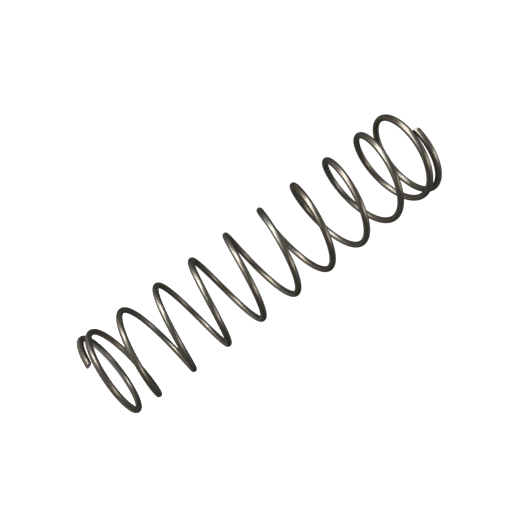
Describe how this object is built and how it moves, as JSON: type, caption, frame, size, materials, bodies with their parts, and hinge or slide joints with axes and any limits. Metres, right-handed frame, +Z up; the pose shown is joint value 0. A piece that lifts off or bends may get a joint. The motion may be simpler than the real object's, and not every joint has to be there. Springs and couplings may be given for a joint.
{
  "type": "compression spring",
  "caption": "Loose helical compression spring from a retractable ballpoint pen: left-hand wound drawn steel wire with closed, unground ends.",
  "frame": {"origin": "centre of the lower end coil's seat plane, on the coil's axis", "axes": "+Z up the coil's axis from the lower end coil to the upper one, +X from the axis to the lower tip of the wire, +Y the way the spring bows"},
  "size_m": [0.0048, 0.0048, 0.019],
  "materials": {
    "spring_wire": "drawn, satin, lightly heat-tinted"
  },
  "bodies": {
    "lower_end": {"lower_end_coil_a": "spring_wire", "lower_end_coil_b": "spring_wire", "lower_end_coil_c": "spring_wire", "lower_end_coil_d": "spring_wire"},
    "upper_end": {"upper_end_coil_a": "spring_wire", "upper_end_coil_b": "spring_wire", "upper_end_coil_c": "spring_wire", "upper_end_coil_d": "spring_wire"},
    "coil_1_a": {"active_coil_1_a": "spring_wire"},
    "coil_1_b": {"active_coil_1_b": "spring_wire"},
    "coil_1_c": {"active_coil_1_c": "spring_wire"},
    "coil_1_d": {"active_coil_1_d": "spring_wire"},
    "coil_2_a": {"active_coil_2_a": "spring_wire"},
    "coil_2_b": {"active_coil_2_b": "spring_wire"},
    "coil_2_c": {"active_coil_2_c": "spring_wire"},
    "coil_2_d": {"active_coil_2_d": "spring_wire"},
    "coil_3_a": {"active_coil_3_a": "spring_wire"},
    "coil_3_b": {"active_coil_3_b": "spring_wire"},
    "coil_3_c": {"active_coil_3_c": "spring_wire"},
    "coil_3_d": {"active_coil_3_d": "spring_wire"},
    "coil_4_a": {"active_coil_4_a": "spring_wire"},
    "coil_4_b": {"active_coil_4_b": "spring_wire"},
    "coil_4_c": {"active_coil_4_c": "spring_wire"},
    "coil_4_d": {"active_coil_4_d": "spring_wire"},
    "coil_5_a": {"active_coil_5_a": "spring_wire"},
    "coil_5_b": {"active_coil_5_b": "spring_wire"},
    "coil_5_c": {"active_coil_5_c": "spring_wire"},
    "coil_5_d": {"active_coil_5_d": "spring_wire"},
    "coil_6_a": {"active_coil_6_a": "spring_wire"},
    "coil_6_b": {"active_coil_6_b": "spring_wire"},
    "coil_6_c": {"active_coil_6_c": "spring_wire"},
    "coil_6_d": {"active_coil_6_d": "spring_wire"},
    "coil_7_a": {"active_coil_7_a": "spring_wire"},
    "coil_7_b": {"active_coil_7_b": "spring_wire"},
    "coil_7_c": {"active_coil_7_c": "spring_wire"},
    "coil_7_d": {"active_coil_7_d": "spring_wire"},
    "coil_8_a": {"active_coil_8_a": "spring_wire"},
    "coil_8_b": {"active_coil_8_b": "spring_wire"},
    "coil_8_c": {"active_coil_8_c": "spring_wire"},
    "coil_8_d": {"active_coil_8_d": "spring_wire"},
    "coil_9_a": {"active_coil_9_a": "spring_wire"},
    "coil_9_b": {"active_coil_9_b": "spring_wire"},
    "coil_9_c": {"active_coil_9_c": "spring_wire"},
    "coil_9_d": {"active_coil_9_d": "spring_wire"}
  },
  "joints": [
    {"name": "compression", "type": "slide", "parent": "lower_end", "child": "upper_end", "axis": [0, 0, -1], "range_m": [0, 0.013], "stiffness_N_per_m": 135},
    {"name": "coil_1_a_travel", "type": "slide", "parent": "lower_end", "child": "coil_1_a", "axis": [0, 0, -1], "range_m": [0, 0.00000399]},
    {"name": "coil_1_b_travel", "type": "slide", "parent": "lower_end", "child": "coil_1_b", "axis": [0, 0, -1], "range_m": [0, 0.00022356]},
    {"name": "coil_1_c_travel", "type": "slide", "parent": "lower_end", "child": "coil_1_c", "axis": [0, 0, -1], "range_m": [0, 0.00051385]},
    {"name": "coil_1_d_travel", "type": "slide", "parent": "lower_end", "child": "coil_1_d", "axis": [0, 0, -1], "range_m": [0, 0.00086108]},
    {"name": "coil_2_a_travel", "type": "slide", "parent": "lower_end", "child": "coil_2_a", "axis": [0, 0, -1], "range_m": [0, 0.00124]},
    {"name": "coil_2_b_travel", "type": "slide", "parent": "lower_end", "child": "coil_2_b", "axis": [0, 0, -1], "range_m": [0, 0.00163]},
    {"name": "coil_2_c_travel", "type": "slide", "parent": "lower_end", "child": "coil_2_c", "axis": [0, 0, -1], "range_m": [0, 0.00202]},
    {"name": "coil_2_d_travel", "type": "slide", "parent": "lower_end", "child": "coil_2_d", "axis": [0, 0, -1], "range_m": [0, 0.00241]},
    {"name": "coil_3_a_travel", "type": "slide", "parent": "lower_end", "child": "coil_3_a", "axis": [0, 0, -1], "range_m": [0, 0.0028]},
    {"name": "coil_3_b_travel", "type": "slide", "parent": "lower_end", "child": "coil_3_b", "axis": [0, 0, -1], "range_m": [0, 0.00319]},
    {"name": "coil_3_c_travel", "type": "slide", "parent": "lower_end", "child": "coil_3_c", "axis": [0, 0, -1], "range_m": [0, 0.00358]},
    {"name": "coil_3_d_travel", "type": "slide", "parent": "lower_end", "child": "coil_3_d", "axis": [0, 0, -1], "range_m": [0, 0.00397]},
    {"name": "coil_4_a_travel", "type": "slide", "parent": "lower_end", "child": "coil_4_a", "axis": [0, 0, -1], "range_m": [0, 0.00436]},
    {"name": "coil_4_b_travel", "type": "slide", "parent": "lower_end", "child": "coil_4_b", "axis": [0, 0, -1], "range_m": [0, 0.00475]},
    {"name": "coil_4_c_travel", "type": "slide", "parent": "lower_end", "child": "coil_4_c", "axis": [0, 0, -1], "range_m": [0, 0.00514]},
    {"name": "coil_4_d_travel", "type": "slide", "parent": "lower_end", "child": "coil_4_d", "axis": [0, 0, -1], "range_m": [0, 0.00553]},
    {"name": "coil_5_a_travel", "type": "slide", "parent": "lower_end", "child": "coil_5_a", "axis": [0, 0, -1], "range_m": [0, 0.00592]},
    {"name": "coil_5_b_travel", "type": "slide", "parent": "lower_end", "child": "coil_5_b", "axis": [0, 0, -1], "range_m": [0, 0.00631]},
    {"name": "coil_5_c_travel", "type": "slide", "parent": "lower_end", "child": "coil_5_c", "axis": [0, 0, -1], "range_m": [0, 0.0067]},
    {"name": "coil_5_d_travel", "type": "slide", "parent": "lower_end", "child": "coil_5_d", "axis": [0, 0, -1], "range_m": [0, 0.00709]},
    {"name": "coil_6_a_travel", "type": "slide", "parent": "lower_end", "child": "coil_6_a", "axis": [0, 0, -1], "range_m": [0, 0.00748]},
    {"name": "coil_6_b_travel", "type": "slide", "parent": "lower_end", "child": "coil_6_b", "axis": [0, 0, -1], "range_m": [0, 0.00787]},
    {"name": "coil_6_c_travel", "type": "slide", "parent": "lower_end", "child": "coil_6_c", "axis": [0, 0, -1], "range_m": [0, 0.00826]},
    {"name": "coil_6_d_travel", "type": "slide", "parent": "lower_end", "child": "coil_6_d", "axis": [0, 0, -1], "range_m": [0, 0.00865]},
    {"name": "coil_7_a_travel", "type": "slide", "parent": "lower_end", "child": "coil_7_a", "axis": [0, 0, -1], "range_m": [0, 0.00905]},
    {"name": "coil_7_b_travel", "type": "slide", "parent": "lower_end", "child": "coil_7_b", "axis": [0, 0, -1], "range_m": [0, 0.00944]},
    {"name": "coil_7_c_travel", "type": "slide", "parent": "lower_end", "child": "coil_7_c", "axis": [0, 0, -1], "range_m": [0, 0.00983]},
    {"name": "coil_7_d_travel", "type": "slide", "parent": "lower_end", "child": "coil_7_d", "axis": [0, 0, -1], "range_m": [0, 0.01022]},
    {"name": "coil_8_a_travel", "type": "slide", "parent": "lower_end", "child": "coil_8_a", "axis": [0, 0, -1], "range_m": [0, 0.01061]},
    {"name": "coil_8_b_travel", "type": "slide", "parent": "lower_end", "child": "coil_8_b", "axis": [0, 0, -1], "range_m": [0, 0.011]},
    {"name": "coil_8_c_travel", "type": "slide", "parent": "lower_end", "child": "coil_8_c", "axis": [0, 0, -1], "range_m": [0, 0.01139]},
    {"name": "coil_8_d_travel", "type": "slide", "parent": "lower_end", "child": "coil_8_d", "axis": [0, 0, -1], "range_m": [0, 0.01178]},
    {"name": "coil_9_a_travel", "type": "slide", "parent": "lower_end", "child": "coil_9_a", "axis": [0, 0, -1], "range_m": [0, 0.01216]},
    {"name": "coil_9_b_travel", "type": "slide", "parent": "lower_end", "child": "coil_9_b", "axis": [0, 0, -1], "range_m": [0, 0.0125]},
    {"name": "coil_9_c_travel", "type": "slide", "parent": "lower_end", "child": "coil_9_c", "axis": [0, 0, -1], "range_m": [0, 0.01278]},
    {"name": "coil_9_d_travel", "type": "slide", "parent": "lower_end", "child": "coil_9_d", "axis": [0, 0, -1], "range_m": [0, 0.013]}
  ],
  "couplings": [
    {"joint": "coil_1_a_travel", "follows": "compression", "ratio": 0.00023},
    {"joint": "coil_1_b_travel", "follows": "compression", "ratio": 0.01712},
    {"joint": "coil_1_c_travel", "follows": "compression", "ratio": 0.03945},
    {"joint": "coil_1_d_travel", "follows": "compression", "ratio": 0.06616},
    {"joint": "coil_2_a_travel", "follows": "compression", "ratio": 0.09552},
    {"joint": "coil_2_b_travel", "follows": "compression", "ratio": 0.12552},
    {"joint": "coil_2_c_travel", "follows": "compression", "ratio": 0.15553},
    {"joint": "coil_2_d_travel", "follows": "compression", "ratio": 0.18554},
    {"joint": "coil_3_a_travel", "follows": "compression", "ratio": 0.21555},
    {"joint": "coil_3_b_travel", "follows": "compression", "ratio": 0.24556},
    {"joint": "coil_3_c_travel", "follows": "compression", "ratio": 0.27557},
    {"joint": "coil_3_d_travel", "follows": "compression", "ratio": 0.30558},
    {"joint": "coil_4_a_travel", "follows": "compression", "ratio": 0.33559},
    {"joint": "coil_4_b_travel", "follows": "compression", "ratio": 0.3656},
    {"joint": "coil_4_c_travel", "follows": "compression", "ratio": 0.3956},
    {"joint": "coil_4_d_travel", "follows": "compression", "ratio": 0.42561},
    {"joint": "coil_5_a_travel", "follows": "compression", "ratio": 0.45562},
    {"joint": "coil_5_b_travel", "follows": "compression", "ratio": 0.48563},
    {"joint": "coil_5_c_travel", "follows": "compression", "ratio": 0.51564},
    {"joint": "coil_5_d_travel", "follows": "compression", "ratio": 0.54565},
    {"joint": "coil_6_a_travel", "follows": "compression", "ratio": 0.57566},
    {"joint": "coil_6_b_travel", "follows": "compression", "ratio": 0.60567},
    {"joint": "coil_6_c_travel", "follows": "compression", "ratio": 0.63568},
    {"joint": "coil_6_d_travel", "follows": "compression", "ratio": 0.66569},
    {"joint": "coil_7_a_travel", "follows": "compression", "ratio": 0.6957},
    {"joint": "coil_7_b_travel", "follows": "compression", "ratio": 0.7257},
    {"joint": "coil_7_c_travel", "follows": "compression", "ratio": 0.75571},
    {"joint": "coil_7_d_travel", "follows": "compression", "ratio": 0.78572},
    {"joint": "coil_8_a_travel", "follows": "compression", "ratio": 0.81573},
    {"joint": "coil_8_b_travel", "follows": "compression", "ratio": 0.84574},
    {"joint": "coil_8_c_travel", "follows": "compression", "ratio": 0.87575},
    {"joint": "coil_8_d_travel", "follows": "compression", "ratio": 0.90575},
    {"joint": "coil_9_a_travel", "follows": "compression", "ratio": 0.93497},
    {"joint": "coil_9_b_travel", "follows": "compression", "ratio": 0.9614},
    {"joint": "coil_9_c_travel", "follows": "compression", "ratio": 0.98333},
    {"joint": "coil_9_d_travel", "follows": "compression", "ratio": 0.99978}
  ]
}
